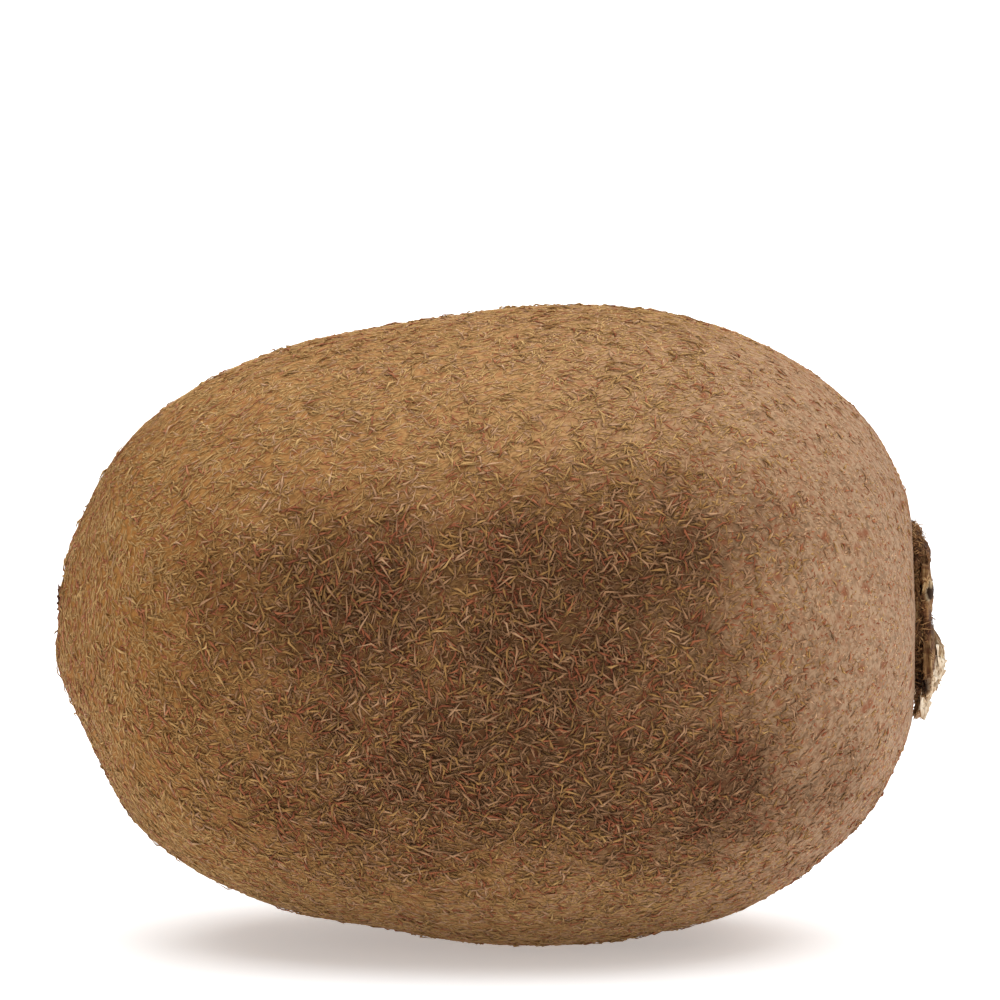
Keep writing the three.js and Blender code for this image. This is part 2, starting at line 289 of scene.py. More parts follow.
skin = piece_from("skin", merged_solid("fruit"), skin_surface())
round_facets(skin, levels=1)
corners, outward = corners_of(skin.data)
swell = np.array(
    [sum(high * noise.noise(Vector(corner) * scale) for scale, high in skin_swellings) for corner in corners]
)
swell *= np.clip(corners[:, 2] / pressed_height, 0, 1)
corners += outward * swell[:, None]
corners[:, 2] = np.maximum(corners[:, 2], 0)
move_corners(skin, corners)
# darkness: dark patches round the belly, and painted shade on the flanks
dark = skin.data.attributes.new("darkness", "FLOAT", "POINT")
dark.data.foreach_set("value", darkness(corners, outward).astype(np.float32))
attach(skin, "root")
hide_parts("fruit")

# ---- Hairs --------------------------------------------------------------------------------------------
# The skin is covered in short, stiff, tapering hairs. Fine ones lie nearly flat all over, in a dense felt.
# Coarser, longer ones stand in pairs round the belly and curl over each other. At the stalk end only stubble
# is left. Each is a closed three-sided spindle, rooted just under the skin.
hair_random = np.random.default_rng(46)
hair_root_depth = 0.03 * mm
hair_floor = 0.04 * mm  # hairs under the fruit are pressed flat
lowest_root = 0.25 * mm  # and none is rooted lower than this
hair_flatness = 0.6  # thickness over width
hair_fall = 1.75  # from root to tip a hair's angle falls by this share of its rise
hoop_edge = (0.05, 0.16)  # hairs run round the fruit before, and along it after, these shares of its length
stubble_edge = (0.66, 0.92)  # and are worn to stubble over these
lengthwise = np.array([[1.0, 0.0, 0.0]])
golden_third, pink_third, rust_third = (0.002, 0.325), (0.348, 0.325), (0.685, 0.312)  # start and width
fine_count, fine_pieces = 108000, 4
fine_length, fine_width = 1.10 * mm, 0.165 * mm
tuft_count, tuft_hairs, coarse_pieces = 10000, 2, 2
coarse_length, coarse_width = 1.55 * mm, 0.23 * mm
bleached_share, bleached_length = 0.25, 0.45 * mm  # some strands in the dark coat are paler, and longer


def unit(vectors):
    return vectors / np.maximum(np.linalg.norm(vectors, axis=1, keepdims=True), 1e-12)


def laid_down(directions, normals):
    """Directions turned down until they lie along the surface."""
    return unit(directions - normals * (directions * normals).sum(1, keepdims=True))


def straight_hair(widest):
    """A three-sided spindle along X from 0 to 1, of radius 1 at its widest place, in triangles."""
    spine = bmesh.new()
    bmesh.ops.create_cone(spine, cap_ends=True, segments=3, radius1=1.0, radius2=0.0, depth=1 - widest)
    bmesh.ops.translate(spine, verts=spine.verts, vec=(0, 0, (1 + widest) / 2))
    root_end = [face for face in spine.faces if face.normal.z < -0.9]
    bmesh.ops.poke(spine, faces=root_end, offset=widest)
    bmesh.ops.triangulate(spine, faces=spine.faces)
    bmesh.ops.recalc_face_normals(spine, faces=spine.faces)
    bmesh.ops.rotate(spine, verts=spine.verts, cent=(0, 0, 0), matrix=Matrix.Rotation(pi / 2, 3, "Y"))
    return spine


class HairShape:
    """A spindle's corner places, their stations along it, its triangles, and their places round and along."""

    def __init__(self, spine):
        spine.verts.index_update()
        self.places = np.array([corner.co for corner in spine.verts])
        self.triangles = np.array([[corner.index for corner in face.verts] for face in spine.faces])
        self.stations, self.level = np.unique(np.round(self.places[:, 0], 4), return_inverse=True)
        spread = []
        for triangle in self.triangles:
            points = self.places[triangle]
            on_axis = np.hypot(points[:, 1], points[:, 2]) < 1e-4
            turn = np.arctan2(points[:, 2], points[:, 1]) / (2 * pi) % 1.0
            if np.ptp(turn[~on_axis]) > 0.5:
                turn = np.where(turn < 0.4, turn + 1, turn)
            turn[on_axis] = turn[~on_axis].mean()
            spread.extend(zip(turn, points[:, 0]))
        spine.free()
        self.spread = np.array(spread)
        self.spread[:, 0] /= self.spread[:, 0].max()


def everywhere(points, normals):
    return np.ones(len(points))


def scattered(shape, count, likely=everywhere):
    """Points spread at random over a mesh, with their normals, thinned out by a likelihood from 0 to 1."""
    shape.calc_loop_triangles()
    corners, normals = corners_of(shape)
    triangles = np.array([triangle.vertices for triangle in shape.loop_triangles])
    a, b, c = (corners[triangles[:, i]] for i in range(3))
    area = np.linalg.norm(np.cross(b - a, c - a), axis=1)
    points, directions = [], []
    found = 0
    while found < count:
        picked = triangles[hair_random.choice(len(triangles), count, p=area / area.sum())]
        u, v = hair_random.random((2, count, 1))
        u, v = np.where(u + v > 1, 1 - u, u), np.where(u + v > 1, 1 - v, v)
        shares = (1 - u - v, u, v)
        where = sum(share * corners[picked[:, i]] for i, share in enumerate(shares))
        facing = unit(sum(share * normals[picked[:, i]] for i, share in enumerate(shares)))
        kept = (hair_random.random(count) < likely(where, facing)) & (where[:, 2] > lowest_root)
        points.append(where[kept])
        directions.append(facing[kept])
        found += kept.sum()
    return np.concatenate(points)[:count], np.concatenate(directions)[:count]


def lie_of_hairs(points, normals, spread):
    """The way each hair lies: along the fruit, away from its waterline, but round it at the blossom end."""
    level = lengthwise + np.array([[0.0, 0.0, 0.55]]) * normals[:, 2:3]
    hoop = np.cross(lengthwise, normals)
    share = smooth_step(share_along(points)[:, None], *hoop_edge)
    lie = laid_down(level * share + hoop * (1 - share), normals)
    side = np.cross(normals, lie)
    angle = (swirl(points, 330.0) * 1.1 + hair_random.normal(0, 1, len(points))) * spread
    return lie * np.cos(angle)[:, None] + side * np.sin(angle)[:, None]


def bent_copies(hair, points, normals, headings, length, width, rise, turn):
    """Corner places of many copies of a hair, which rise from their roots, turn, and bend back down."""
    middle = (hair.stations[1:] + hair.stations[:-1]) / 2
    steps = np.diff(hair.stations)

    def angles(at):
        return turn[:, None] * at, rise[:, None] * (1 - hair_fall * at)

    heading, lift = angles(middle)
    stride = (length[:, None] * steps)[:, :, None] * np.stack(
        [np.cos(lift) * np.cos(heading), np.cos(lift) * np.sin(heading), np.sin(lift)], axis=2
    )
    line = np.concatenate([np.zeros((len(points), 1, 3)), np.cumsum(stride, axis=1)], axis=1)
    heading, lift = angles(hair.stations)
    aside = np.stack([-np.sin(heading), np.cos(heading), np.zeros_like(heading)], axis=2)
    above = np.stack([-np.sin(lift) * np.cos(heading), -np.sin(lift) * np.sin(heading), np.cos(lift)], axis=2)
    half = (width / 2)[:, None, None]
    level, places = hair.level, hair.places
    sideways = aside[:, level] * places[None, :, 1:2]
    upwards = above[:, level] * places[None, :, 2:3] * hair_flatness
    local = line[:, level] + half * (sideways + upwards)
    frames = np.stack([headings, np.cross(normals, headings), normals], axis=1)
    roots = points - normals * hair_root_depth
    corners = roots[:, None] + np.einsum("hvi,hij->hvj", local, frames)
    height = corners[..., 2]
    pressed = hair_floor * np.exp(np.minimum(height - hair_floor, 0) / hair_floor)
    corners[..., 2] = np.where(height < hair_floor, pressed, height)
    return corners


def hair_coat(name, hair, growth, material):
    """One mesh of many hairs. The growth holds, for all of them, their roots, the ways that the surface faces
    there, their headings, lengths, widths, angles of rise, how far they turn, and their tones from 0 to 1."""
    *bends, tone = growth
    corners = bent_copies(hair, *bends)
    shape = bpy.data.meshes.new(name)
    offsets = np.arange(len(tone))[:, None, None] * len(hair.places)
    faces = (hair.triangles[None] + offsets).reshape(-1, 3)
    shape.from_pydata(corners.reshape(-1, 3), [], faces)
    layer = shape.uv_layers.new(name="OFBake")
    tone_margin, tip_margin = 0.004, 0.02
    strip = 0.5 / 256  # how narrow a part of the map each hair takes up
    tone = np.clip(tone, 0, 1)[:, None]
    across = tone_margin + (1 - 2 * tone_margin) * tone + (hair.spread[None, :, 0] - 0.5) * strip
    up = np.broadcast_to(tip_margin + (1 - 2 * tip_margin) * hair.spread[None, :, 1], across.shape)
    layer.data.foreach_set("uv", np.stack([across, up], axis=2).astype(np.float32).ravel())
    shape.shade_smooth()
    shape.materials.append(material)
    coat = bpy.data.objects.new(name, shape)
    bpy.context.scene.collection.objects.link(coat)
    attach(coat, "root")


def hair_surface(name, tones):
    """Colour by each hair's own tone, across the map, and from its root to its tip, up the map."""
    look = Surface(name, Roughness=0.75, Specular_IOR_Level=0.15)
    unwrapped = look.tree.nodes.new("ShaderNodeUVMap")
    unwrapped.uv_map = "OFBake"
    place = look.add("SeparateXYZ", Vector=unwrapped.outputs["UV"])
    tones = look.ramp(place.outputs["X"], tones)
    # each hair darker towards its root
    darker_towards_root = [(0.0, (206, 190, 176)), (0.4, (242, 236, 228)), (1.0, (255, 255, 255))]
    look.colour(look.blend("MULTIPLY", 1.0, tones, look.ramp(place.outputs["Y"], darker_towards_root)))
    return look.material


kiwi_hair = hair_surface(
    "kiwi_hair",
    [
        (0.000, (98, 72, 42)),
        (0.170, (156, 118, 70)),
        (0.335, (214, 178, 122)),
        (0.345, (94, 66, 42)),
        (0.510, (158, 120, 88)),
        (0.670, (214, 176, 142)),
        (0.680, (104, 54, 36)),
        (0.850, (150, 90, 60)),
        (1.000, (192, 134, 96)),
    ],
)


def stubble_share(points):
    """How far the hairs are worn to stubble: on the stalk end's shoulder, and less close to the calyx."""
    near_calyx = smooth_step(off_axis(points, stalk_axis[1:]), *collar_edge)
    return smooth_step(share_along(points), *stubble_edge) * near_calyx


def family(tone, points, dark):
    """Places tones from 0 to 1 in the golden, pink or rust third of the map. Pink grows towards the stalk."""
    along = share_along(points)
    draw = hair_random.random(len(tone))
    blossom_end, belly = 1 - smooth_step(along, 0.0, 0.12), smooth_step(along, 0.1, 0.4)
    rust_share = 0.13 + 0.15 * blossom_end + 0.08 * np.maximum(dark, smooth_step(along, 0.7, 0.9))
    pink_share = 0.18 * smooth_step(along, 0.0, 0.35) + 0.34 * dark * belly + 0.40 * stubble_share(points)
    golden_or_pink = np.where((draw < pink_share)[:, None], pink_third, golden_third)
    start, wide = np.where((draw > 1 - rust_share)[:, None], rust_third, golden_or_pink).T
    return start + wide * np.clip(tone, 0, 1)


def bare_of_calyx(points):
    """1 over the skin, and 0 on the seat that the calyx covers."""
    return (points[:, 0] <= fruit_high.x - 0.6 * mm) * 1.0


def fine_share(points, normals):
    """How thickly the fine hairs stand: evenly, and a little thinner in the stubble."""
    return bare_of_calyx(points) * (1 - 0.25 * stubble_share(points))


def coarse_share(points, normals):
    """How thickly the coarse hairs stand: in the dark patches of the flanks, and few on the shoulders."""
    return bare_of_calyx(points) * np.clip(0.08 + darkness(points, normals), 0, 1)


def skin_hairs(name, pieces, hair, growth):
    """Hairs of the skin dealt out over several meshes, so that none grows past its limit of triangles."""
    for i in range(pieces):
        hair_coat(f"{name}_{i + 1}", hair, [values[i::pieces] for values in growth], kiwi_hair)


points, normals = scattered(skin.data, fine_count, fine_share)
stubble = stubble_share(points)
dark = darkness(points, normals)
headings = lie_of_hairs(points, normals, 0.5 + 0.3 * dark)
length = (fine_length - 0.55 * mm * stubble) * hair_random.uniform(0.7, 1.3, fine_count)
width = (fine_width + 0.03 * mm * stubble) * hair_random.uniform(0.75, 1.2, fine_count)
rise = np.radians(hair_random.uniform(7, 16, fine_count) - 3 * stubble)
turn = hair_random.normal(0, 0.7, fine_count)
# hairs darker where the coat is dark, painted shade on the flanks included
tone = 0.74 - 0.55 * dark - 0.12 * stubble + 0.06 * swirl(points, 300.0)
tone -= 0.13 * (1 - smooth_step(share_along(points), 0.0, 0.16))  # more orange round the blossom end
tone += hair_random.normal(0, 1, fine_count) * (0.06 + 0.08 * stubble)
tone += 0.20 * smooth_step(normals[:, 2], 0.70, 0.98)  # painted light: paler on top, where the overhead lamp falls
tone = family(tone, points, dark)
fine_hair = HairShape(straight_hair(widest=0.38))
growth = (points, normals, headings, length, width, rise, turn, tone)
skin_hairs("fine_hairs", fine_pieces, fine_hair, growth)

coarse_count = tuft_count * tuft_hairs
points, normals = scattered(skin.data, tuft_count, coarse_share)
points, normals = np.repeat(points, tuft_hairs, axis=0), np.repeat(normals, tuft_hairs, axis=0)
headings = lie_of_hairs(points, normals, 1.1)
stubble = stubble_share(points)
dark = darkness(points, normals)
bleached = (hair_random.random(coarse_count) < bleached_share) * dark
length = coarse_length - 0.7 * mm * stubble + bleached_length * bleached
length *= hair_random.uniform(0.65, 1.35, coarse_count)
width = coarse_width * hair_random.uniform(0.75, 1.2, coarse_count)
rise = np.radians(hair_random.uniform(11, 32, coarse_count))
turn = hair_random.normal(0, 1.3, coarse_count)
# hairs darker where the coat is dark, painted shade on the flanks included
tone = hair_random.normal(0.70, 0.10, coarse_count) - 0.49 * dark - 0.12 * stubble + 0.19 * bleached
tone = family(tone, points, dark)
coarse_hair = HairShape(straight_hair(widest=0.4))
growth = (points, normals, headings, length, width, rise, turn, tone)
skin_hairs("coarse_hairs", coarse_pieces, coarse_hair, growth)

# ---- Calyx --------------------------------------------------------------------------------------------
# Five withered sepals round their receptacle, dry as paper, crumpled and veined from the stalk outwards. They
# grow in one with the fruit's stalk end. Olive brown, darkest at the top, and bleached towards the bottom. A
# short brown wool covers them and fills the gaps beneath.
sepal_crumples = ((330.0, 0.12 * mm), (900.0, 0.07 * mm))  # noise scale per metre, and height
vein_height = 0.05 * mm
veins_round, veins_out = 9.0, 260.0  # how fast the veins follow each other round the stalk, and change along
layer_stretch = (1, 0.14, 0.14)  # the dry layers of a sepal's edge are drawn out across the fruit
crosswise = (0, 1, 1)  # keeps only the part of a distance that lies across the fruit
hollow_shade_centre = Vector((32.95, -6.0, 20.8)) * mm  # painted shade of a hollow under the sepals, on the fruit's front
hollow_shade_scales, hollow_shade_edge = (1.4, 0.3, 1), (0.7 * mm, 1.3 * mm)  # it runs in deep, and fades over this edge
calyx_knot = Vector((33.78, -6.2, 28.4)) * mm  # a pale curled edge round a dark core of painted shade, above the hollow
knot_scales = (1.6, 0.8, 0.9)  # it is narrow along the fruit
rolled_tip = (0.26 * mm, 0.6 * mm, 0.78 * mm)  # half the size of the rolled-up sepal tip at the knot
rolled_tip_middle = calyx_knot + Vector((-0.08, 0.0, 0.12)) * mm
sepal_gaps = (41, 115, 185, 255, 328)  # degrees round the stalk, between the sepals
scorched_heights = (30.5 * mm, 33.0 * mm)  # the sepals darken over these heights
calyx_sunk = 0.12  # share of their height by which the sepals have shrunk as they dried
top_droop, top_taper = 0.45 * mm, 0.6  # the topmost sepal's tip is withered shorter and thinner
top_heights = (31.0 * mm, 33.7 * mm)  # where that tip begins and ends
wool_count, wool_length, wool_width = 5000, 0.55 * mm, 0.12 * mm


def spokes(points):
    """Distance of points from the stalk's axis, and their direction from it, across the axis."""
    out = (points - np.array(stalk_axis)) * np.array(crosswise)
    return np.linalg.norm(out, axis=1), unit(out)


def distance_from(centre, scales, points):
    """Distance of points from a centre, with X, Y and Z scaled."""
    return np.linalg.norm((points - np.array(centre)) * np.array(scales), axis=1)


# painted shade of the hollow: 1 in its middle, fading to 0
def in_hollow_shade(points):
    return 1 - smooth_step(distance_from(hollow_shade_centre, hollow_shade_scales, points), *hollow_shade_edge)


def radial(look, scale_round, scale_out):
    """A noise in streaks that run out from the stalk's axis."""
    out = look.offset(stalk_axis, crosswise)
    far = look.math("MULTIPLY", look.vector("LENGTH", out), scale_out)
    turned = look.vector("MULTIPLY", look.vector("NORMALIZE", out), (0, scale_round, scale_round))
    drawn = look.vector("ADD", turned, look.add("CombineXYZ", X=far).outputs[0])
    return look.cloud(drawn, scale=1.0, detail=3.0, roughness=0.6)


def finer(name, node, levels, material, moved):
    """A finer piece in place of a small solid: its facets rounded, and its corners moved by a function."""
    piece = piece_from(name, merged_solid(node), material)
    round_facets(piece, levels)
    move_corners(piece, moved(*corners_of(piece.data)))
    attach(piece, "root")
    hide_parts(node)
    return piece


def crease_shade(look):
    """Painted shade in the creases that run out between the sepals: how dark it is."""
    out = look.offset(stalk_axis, crosswise)
    toward = look.vector("NORMALIZE", out)
    parted = 0.0
    for degrees in sepal_gaps:
        gap = (0, cos(radians(degrees)), sin(radians(degrees)))
        parted = look.math("MAXIMUM", parted, look.vector("DOT_PRODUCT", toward, gap))
    wander = look.math("MULTIPLY", look.grain(600.0), 0.05)
    crease = look.span(look.math("ADD", parted, wander), 0.995, 1.022, 0.0, 0.75)
    return look.math("MULTIPLY", crease, look.span(look.vector("LENGTH", out), 6.4 * mm, 5.4 * mm))


def knot_rings(look):
    """The knot's dark core, painted shade under its curled edge, and its pale rim. The alpha says how far
    they cover what lies under them.
    """
    wander = look.math("MULTIPLY", look.grain(1500.0), 0.9 * mm)
    warped = look.math("ADD", look.distance(calyx_knot, knot_scales), wander)
    return look.ramp(
        look.span(warped, 0.4 * mm, 2.0 * mm),
        [
            (0.00, (46, 38, 34, 1.0)),
            (0.36, (66, 50, 38, 0.95)),
            (0.50, (190, 170, 138, 0.8)),
            (0.60, (176, 148, 110, 0.5)),
            (0.76, (150, 112, 68, 0.0)),
        ],
    )


def calyx_surface():
    """Veined brown, bleached at the bottom and scorched at the top, with painted shade in the creases and
    a hollow, and the knot.
    """
    look = Surface("withered_sepals", Roughness=0.9, Specular_IOR_Level=0.15)
    streaks = look.math("MULTIPLY", radial(look, 16.0, 300.0), 0.35)
    strata = look.grain(2400.0, detail=3.0, roughness=0.6, stretch=layer_stretch)
    veins = look.math("ADD", streaks, look.math("MULTIPLY", strata, 0.65))
    brown = look.ramp(
        veins,
        [
            (0.36, (58, 34, 22)),
            (0.46, (104, 68, 42)),
            (0.54, (138, 104, 66)),
            (0.64, (182, 152, 108)),
        ],
    )
    pale = look.ramp(veins, [(0.35, (146, 110, 74)), (0.48, (214, 186, 150)), (0.62, (238, 222, 196))])
    dusky = look.ramp(veins, [(0.38, (52, 32, 21)), (0.62, (122, 88, 56))])
    height = look.coordinate("Z")
    wavy_height = look.math("ADD", height, look.math("MULTIPLY", look.grain(700.0), 2.4 * mm))
    far = look.distance(stalk_axis, crosswise)
    hollow = look.distance(hollow_shade_centre, hollow_shade_scales)
    rings = knot_rings(look)
    off_middle = look.math("ABSOLUTE", look.math("SUBTRACT", wavy_height, 26.0 * mm))
    stains = (  # each lies over the one before: how strongly it covers, and its colour
        (look.span(wavy_height, 23.4 * mm, 21.4 * mm, 0.0, 0.85), pale),
        (look.span(far, 5.8 * mm, 3.8 * mm, 0.0, 0.55), dusky),
        # painted shade in the creases
        (crease_shade(look), shade(40, 24, 17)),
        # painted shade in the hollow
        (look.span(hollow, *hollow_shade_edge, 0.9, 0.0), shade(30, 16, 12)),
        # the knot: its dark core is painted shade, its rim pale
        (rings.node.outputs["Alpha"], rings),
        (look.span(off_middle, 1.8 * mm, 0.8 * mm, 0.0, 0.5), shade(64, 40, 26)),
        (look.span(wavy_height, *scorched_heights, 0.0, 0.7), shade(46, 27, 20)),
        (look.span(height, 18.6 * mm, 17.8 * mm, 0.0, 0.7), shade(116, 72, 42)),
    )
    for cover, colour in stains:
        brown = look.blend("MIX", cover, brown, colour)
    look.colour(brown)
    look.relief(veins, 0.8, 0.2 * mm)
    return look.material


def crumpled(corners, outward):
    """The sepals' corners moved into crumples, veins and layers, and sunk as far as the sepals have dried."""
    far, spoke = spokes(corners)
    free = smooth_step(far, 2.0 * mm, 4.5 * mm)
    for scale, height in sepal_crumples:
        corners[:, 0] += height * free * np.abs(swirl(corners * np.array([0.3, 1, 1]), scale))
    along_veins = spoke * veins_round + far[:, None] * np.array([[veins_out, 0, 0]])
    layers = 0.8 * swirl(corners * np.array(layer_stretch), 2200.0)
    face = np.abs(outward[:, 0])
    upper = smooth_step(corners[:, 2], *top_heights)
    corners[:, 2] -= top_droop * upper
    corners[:, 0] -= (calyx_sunk + top_taper * upper) * np.maximum(corners[:, 0] - fruit_high.x, 0)
    return corners + outward * (vein_height * (face * swirl(along_veins, 1.0) + (1 - face) * layers))[:, None]


def wool_share(points, normals):
    """How thickly the wool stands: half as thick on the sepals' faces as on their edges."""
    return np.where(normals[:, 0] > 0.5, 0.5, 1.0)


def short_hairs(count, length, shortest, longest, width, rise, turn):
    """Random lengths, widths, angles of rise and turns for the small dry hairs of the stalk end."""
    return (
        length * hair_random.uniform(shortest, longest, count),
        width * hair_random.uniform(0.7, 1.2, count),
        np.radians(hair_random.uniform(*rise, count)),
        hair_random.normal(0, turn, count),
    )


withered = calyx_surface()
calyx = finer("withered_calyx", "calyx", 2, withered, crumpled)

bead = bmesh.new()
bmesh.ops.create_uvsphere(bead, u_segments=18, v_segments=12, radius=1.0)
bmesh.ops.scale(bead, verts=bead.verts, vec=rolled_tip)
bmesh.ops.translate(bead, verts=bead.verts, vec=rolled_tip_middle)
curled_tip = piece_from("curled_tip", bead, withered)
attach(curled_tip, "root")

dry_wool = hair_surface(
    "calyx_wool",
    [(0.0, (52, 30, 19)), (0.4, (124, 84, 52)), (0.7, (176, 136, 90)), (1.0, (224, 196, 152))],
)
points, normals = scattered(calyx.data, wool_count, wool_share)
spoke = spokes(points)[1]
aside = np.cross(lengthwise, spoke)
headings = spoke + aside * hair_random.normal(0, 0.35, (wool_count, 1)) - 0.25 * lengthwise
tone = hair_random.normal(0.38, 0.14, wool_count)
tone += 0.35 * (1 - smooth_step(points[:, 2], 19.5 * mm, 21.5 * mm))
# darker in the hollow: painted shade
tone -= 0.25 * smooth_step(points[:, 2], *scorched_heights) + 0.6 * in_hollow_shade(points)
knot = distance_from(calyx_knot, knot_scales, points)
# the knot: a dark core of painted shade, and a pale rim
tone = np.where(knot < 0.75 * mm, 0.02, np.where(knot < 1.05 * mm, 0.75, tone))
wool = short_hairs(wool_count, wool_length, 0.6, 1.4, wool_width, rise=(3, 16), turn=0.8)
growth = (points, normals, laid_down(headings, normals), *wool, tone)
hair_coat("calyx_wool", fine_hair, growth, dry_wool)

# ---- Withered stamens ---------------------------------------------------------------------------------
# What is left of the flower under the sepals: a low, shrivelled brown ring round the receptacle, and dry
# filaments that stick out from it in all directions over the rim of the seat.
ring = {"radius": 5.9 * mm, "wide": 0.75 * mm, "high": 0.42 * mm, "above": 0.30 * mm, "lumps": 0.22 * mm}
ring_steps = 72
filament_count, filament_length, filament_width = 2600, 1.1 * mm, 0.14 * mm

loop = bmesh.new()
bmesh.ops.create_circle(loop, segments=10, radius=1.0)
bmesh.ops.scale(loop, verts=loop.verts, vec=(ring["high"], ring["wide"], 1))
bmesh.ops.translate(loop, verts=loop.verts, vec=stalk_axis + Vector((ring["above"], ring["radius"], 0)))
bmesh.ops.spin(loop, geom=loop.edges[:], cent=stalk_axis, axis=(1, 0, 0), angle=2 * pi, steps=ring_steps,
               use_merge=True, dvec=(0, 0, 0), use_normal_flip=False)
bmesh.ops.recalc_face_normals(loop, faces=loop.faces)
stamen_ring = piece_from("stamen_ring", loop, withered)
corners, outward = corners_of(stamen_ring.data)
move_corners(stamen_ring, corners + outward * (ring["lumps"] * swirl(corners, 1100.0))[:, None])
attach(stamen_ring, "root")

points, normals = scattered(stamen_ring.data, filament_count)
headings = 0.6 * spokes(points)[1] + hair_random.normal(0, 0.7, (filament_count, 3))
# darker in the hollow: painted shade
tone = hair_random.normal(0.42, 0.17, filament_count) - 0.5 * in_hollow_shade(points)
filaments = short_hairs(filament_count, filament_length, 0.6, 1.3, filament_width, rise=(10, 45), turn=0.9)
growth = (points, normals, laid_down(headings, normals), *filaments, tone)
hair_coat("stamen_filaments", fine_hair, growth, dry_wool)

# ---- Stalk stub ---------------------------------------------------------------------------------------
# The snapped end of the stalk, with a strip of its bark torn down over the sepals. Dry, pale, fibrous wood
# round a darker pith. Thin cream flakes of bark curl up from the strip, and loose fibres lie along it.
fibre_height = 0.06 * mm
fibre_stretch = (1, 1, 0.16)  # the wood's fibres are drawn out up and down
snapped, snapped_above, snapped_below = 0.06, 0.36, 0.25  # shares broken off: all over, and more at the ends
above_heights, below_heights = (23.0 * mm, 25.6 * mm), (20.4 * mm, 22.0 * mm)
flake_thickness = 0.09 * mm
flake_tear, flake_taper = 0.35, 0.55  # how ragged its sides are and how much it narrows, over its width
flake_bow = 0.10  # how far it bows outwards, over its length
fibre_count, fibre_length, fibre_width = 420, 1.0 * mm, 0.12 * mm
flakes = (  # y, z, length and width in mm, and curl, lean, sweep and turn in radians
    (-1.3, 23.6, 2.0, 1.2, 1.8, -0.12, -0.10, -0.6),
    (-1.7, 22.6, 1.9, 1.3, 2.4, -0.40, -0.15, -1.1),
    (0.1, 22.4, 1.8, 1.1, 1.6, -0.36, 0.12, 0.2),
    (-0.9, 21.6, 1.7, 1.2, 2.6, -0.55, 0.10, -0.8),
    (-2.7, 22.2, 1.9, 1.1, 2.0, -0.34, -0.10, -1.2),
    (-4.3, 21.6, 1.6, 1.1, 2.2, -0.38, 0.15, -1.3),
    (-3.4, 20.7, 1.5, 1.1, 1.8, -0.34, 0.10, -1.2),
    (-2.0, 20.3, 1.7, 1.2, 2.0, -0.30, 0.00, -1.3),
    (-1.6, 19.2, 1.4, 1.1, 2.0, -0.30, 0.05, -1.2),
)


def stub_surface():
    """Pale fibrous wood with a dark pith and bark rim in rings, stained brown above the torn strip."""
    look = Surface("torn_stalk", Roughness=0.85, Specular_IOR_Level=0.2)
    grain = look.grain(2600.0, detail=3.0, roughness=0.6, stretch=fibre_stretch)
    wood = look.ramp(
        grain,
        [
            (0.34, (96, 64, 40)),
            (0.46, (170, 136, 98)),
            (0.56, (214, 192, 156)),
            (0.70, (236, 222, 194)),
        ],
    )
    rings = look.ramp(
        look.span(look.distance(stalk_axis, crosswise), 0.0, 2.0 * mm),
        [
            (0.00, (150, 118, 84)),
            (0.30, (84, 56, 36)),
            (0.50, (190, 160, 120)),
            (0.80, (206, 182, 146)),
            (0.90, (110, 80, 52)),
            (1.00, (255, 255, 255)),
        ],
    )
    wood = look.blend("MULTIPLY", 0.8, wood, rings)
    wavy_height = look.math("ADD", look.coordinate("Z"), look.math("MULTIPLY", look.grain(900.0), 2.0 * mm))
    stained = look.span(wavy_height, 23.6 * mm, 24.8 * mm, 0.0, 0.75)
    look.colour(look.blend("MIX", stained, wood, shade(96, 66, 40)))
    look.relief(grain, 0.8, 0.15 * mm)
    return look.material


def splintered(corners, outward):
    """The stub's corners moved into fibres, and sunk as far as the stub is snapped back."""
    fibres = fibre_height * swirl(corners * np.array(fibre_stretch), 2200.0)
    corners = corners + outward * fibres[:, None]
    above = smooth_step(corners[:, 2], *above_heights)
    below = 1 - smooth_step(corners[:, 2], *below_heights)
    sunk = snapped + snapped_above * above + snapped_below * below
    corners[:, 0] -= sunk * np.maximum(corners[:, 0] - fruit_high.x, 0)
    return corners


def torn_flake(place, length, width, curl, lean, sweep, turned):
    """A thin ragged sheet that hangs down from its place, curls round its length, and leans and turns."""
    sheet = bmesh.new()
    bmesh.ops.create_grid(sheet, x_segments=10, y_segments=6, size=0.5)
    for corner in sheet.verts:
        down, across = corner.co.x + 0.5, corner.co.y
        tear = 1 + flake_tear * noise.noise(Vector((down * 4, across * 3, place.z * 900)))
        half = width * across * (1 - flake_taper * down) * tear
        reach = length * down * (1 + 0.25 * noise.noise(Vector((across * 6, place.z * 700, 0))) * down)
        angle = across * curl * (0.4 + 0.6 * down)
        out = width * 0.5 * (1 - cos(angle)) + flake_bow * length * down * down
        corner.co = (out, half * (sin(angle) / angle if angle else 1), -reach)
    bmesh.ops.solidify(sheet, geom=sheet.faces[:], thickness=flake_thickness)
    bmesh.ops.recalc_face_normals(sheet, faces=sheet.faces)
    stand = Matrix.Rotation(sweep, 3, "X") @ Matrix.Rotation(-lean, 3, "Y") @ Matrix.Rotation(turned, 3, "Z")
    bmesh.ops.rotate(sheet, verts=sheet.verts, cent=(0, 0, 0), matrix=stand)
    bmesh.ops.translate(sheet, verts=sheet.verts, vec=place)
    return sheet


def flake_surface():
    look = Surface("bark_flakes", Roughness=0.8, Specular_IOR_Level=0.25)
    grain = look.grain(2600.0, detail=3.0, roughness=0.6, stretch=(1, 1, 0.2))
    look.colour(look.ramp(grain, [(0.36, (128, 96, 66)), (0.47, (206, 182, 152)), (0.60, (242, 228, 206))]))
    look.relief(grain, 0.6, 0.1 * mm)
    return look.material


stub = finer("torn_stub", "stalk_stub", 2, stub_surface(), splintered)

